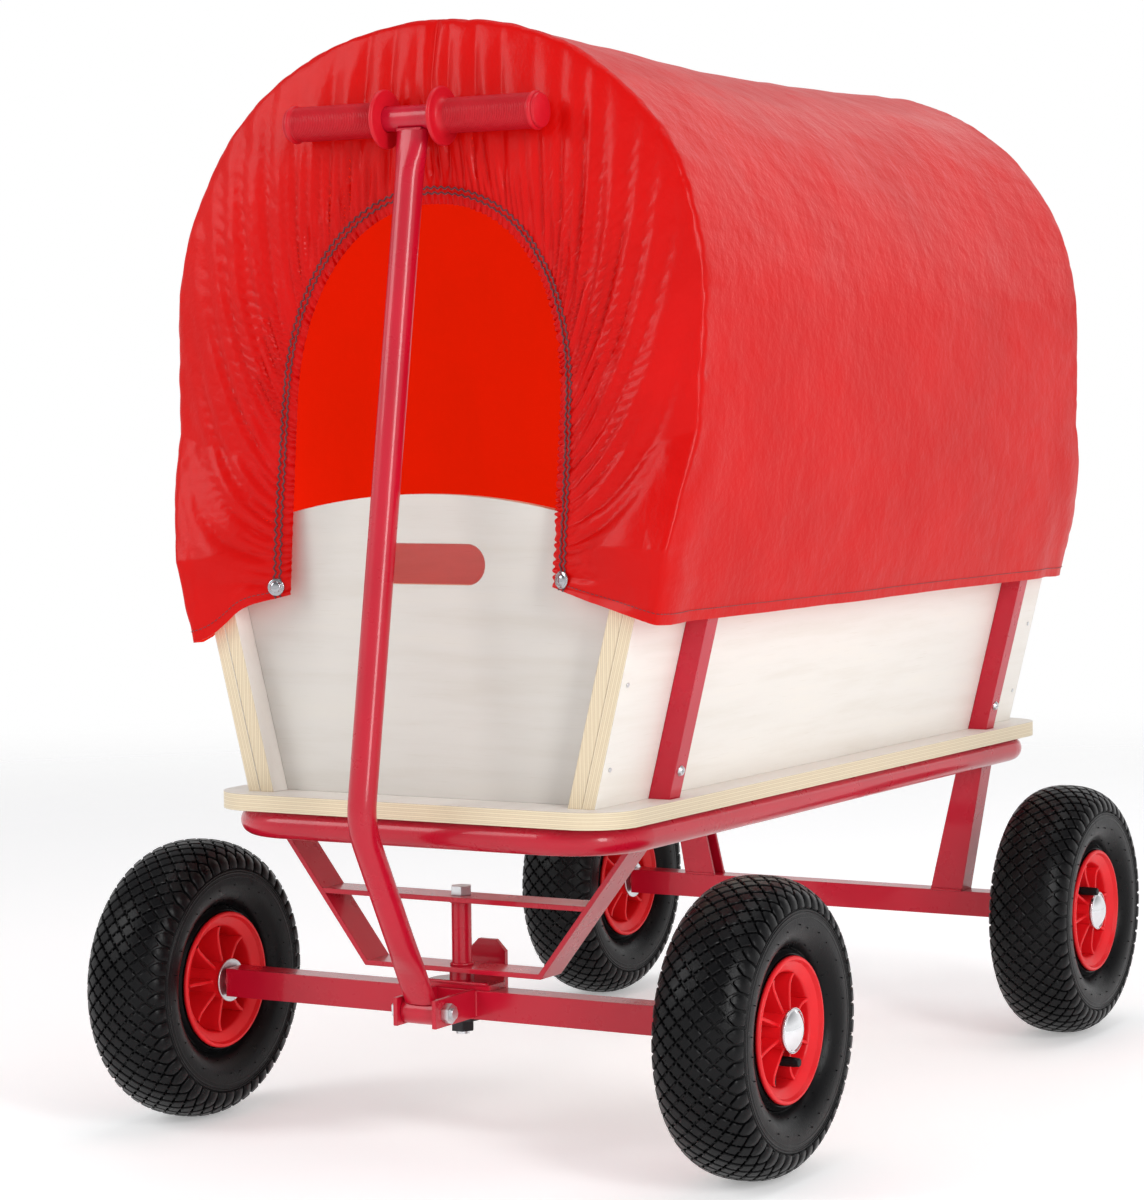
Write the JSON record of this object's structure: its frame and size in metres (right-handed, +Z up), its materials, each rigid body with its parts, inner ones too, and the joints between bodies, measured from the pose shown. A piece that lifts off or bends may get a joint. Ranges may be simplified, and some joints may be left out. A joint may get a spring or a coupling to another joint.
{
  "type": "wagon with pull handle",
  "caption": "Covered pull-along wagon: plywood box on a bent tube frame, pneumatic wheels, steered front axle, folding drawbar with cross grips, and a fabric canopy on hoops",
  "frame": {"origin": "on the ground, below the middle of the whole width and of the whole length, the pull handle at rest included", "axes": "+Z up, the handle and steered axle at -Y, +X to the right seen from the handle's side looking back at the wagon"},
  "size_m": [0.6748, 1.057, 1.003],
  "materials": {
    "frame_red": "gloss powder coat",
    "rim_red": "moulded, glossy",
    "grip_red": "ribbed, soft",
    "plywood": "clear satin",
    "cover_red": "coated, slightly shiny",
    "tyre_black": "moulded rubber",
    "tube_black": "matt",
    "cap_black": "moulded",
    "chrome": "polished",
    "zinc": "zinc plated",
    "black_steel": "black oxide"
  },
  "bodies": {
    "wagon": {"bed_frame": "frame_red", "deck": "plywood", "side_panel_left": "plywood", "side_panel_right": "plywood", "front_panel": "plywood", "rear_panel": "plywood", "front_cleats": "plywood", "rear_cleats": "plywood", "cleat_nails": "zinc", "stake_front_left": "frame_red", "stake_front_right": "frame_red", "stake_rear_left": "frame_red", "stake_rear_right": "frame_red", "stake_screws": "zinc", "hoop_front": "zinc", "hoop_rear": "zinc", "canopy_cover": "cover_red", "canopy_front": "cover_red", "canopy_rear": "cover_red", "canopy_snaps": "chrome", "bracket_strap": "frame_red", "bracket_crossbar": "frame_red", "kingpin_tube": "frame_red", "rear_axle": "frame_red", "rear_leg_left": "frame_red", "rear_leg_right": "frame_red", "rear_hub_caps": "chrome", "rear_washers": "zinc"},
    "steering": {"front_axle": "frame_red", "steering_plate": "frame_red", "clevis_plates": "frame_red", "kingpin_bolt": "zinc", "kingpin_nut": "black_steel", "clevis_bolt": "zinc", "front_hub_caps": "chrome", "front_washers": "zinc"},
    "pull_handle": {"drawbar": "frame_red", "drawbar_bush": "frame_red", "cross_tube": "frame_red", "grip_left": "grip_red", "grip_right": "grip_red"},
    "wheel_front_left": {"tyre_front_left": "tyre_black", "rim_front_left": "rim_red", "inner_tube_front_left": "tube_black", "valve_cap_front_left": "cap_black"},
    "wheel_front_right": {"tyre_front_right": "tyre_black", "rim_front_right": "rim_red", "inner_tube_front_right": "tube_black", "valve_cap_front_right": "cap_black"},
    "wheel_rear_left": {"tyre_rear_left": "tyre_black", "rim_rear_left": "rim_red", "inner_tube_rear_left": "tube_black", "valve_cap_rear_left": "cap_black"},
    "wheel_rear_right": {"tyre_rear_right": "tyre_black", "rim_rear_right": "rim_red", "inner_tube_rear_right": "tube_black", "valve_cap_rear_right": "cap_black"}
  },
  "joints": [
    {"name": "steer", "type": "hinge", "parent": "wagon", "child": "steering", "pos_m": [0, -0.35753, 0.13], "axis": [0, 0, 1], "range_deg": [-40, 40], "deforming": ["canopy_front"]},
    {"name": "handle_fold", "type": "hinge", "parent": "steering", "child": "pull_handle", "pos_m": [0, -0.42153, 0.131], "axis": [1, 0, 0], "range_deg": [0, 95]},
    {"name": "wheel_front_left_spin", "type": "hinge", "parent": "steering", "child": "wheel_front_left", "pos_m": [-0.294, -0.35753, 0.13], "axis": [1, 0, 0], "continuous": true},
    {"name": "wheel_front_right_spin", "type": "hinge", "parent": "steering", "child": "wheel_front_right", "pos_m": [0.294, -0.35753, 0.13], "axis": [1, 0, 0], "continuous": true},
    {"name": "wheel_rear_left_spin", "type": "hinge", "parent": "wagon", "child": "wheel_rear_left", "pos_m": [-0.28, 0.39847, 0.13], "axis": [1, 0, 0], "continuous": true},
    {"name": "wheel_rear_right_spin", "type": "hinge", "parent": "wagon", "child": "wheel_rear_right", "pos_m": [0.28, 0.39847, 0.13], "axis": [1, 0, 0], "continuous": true}
  ]
}
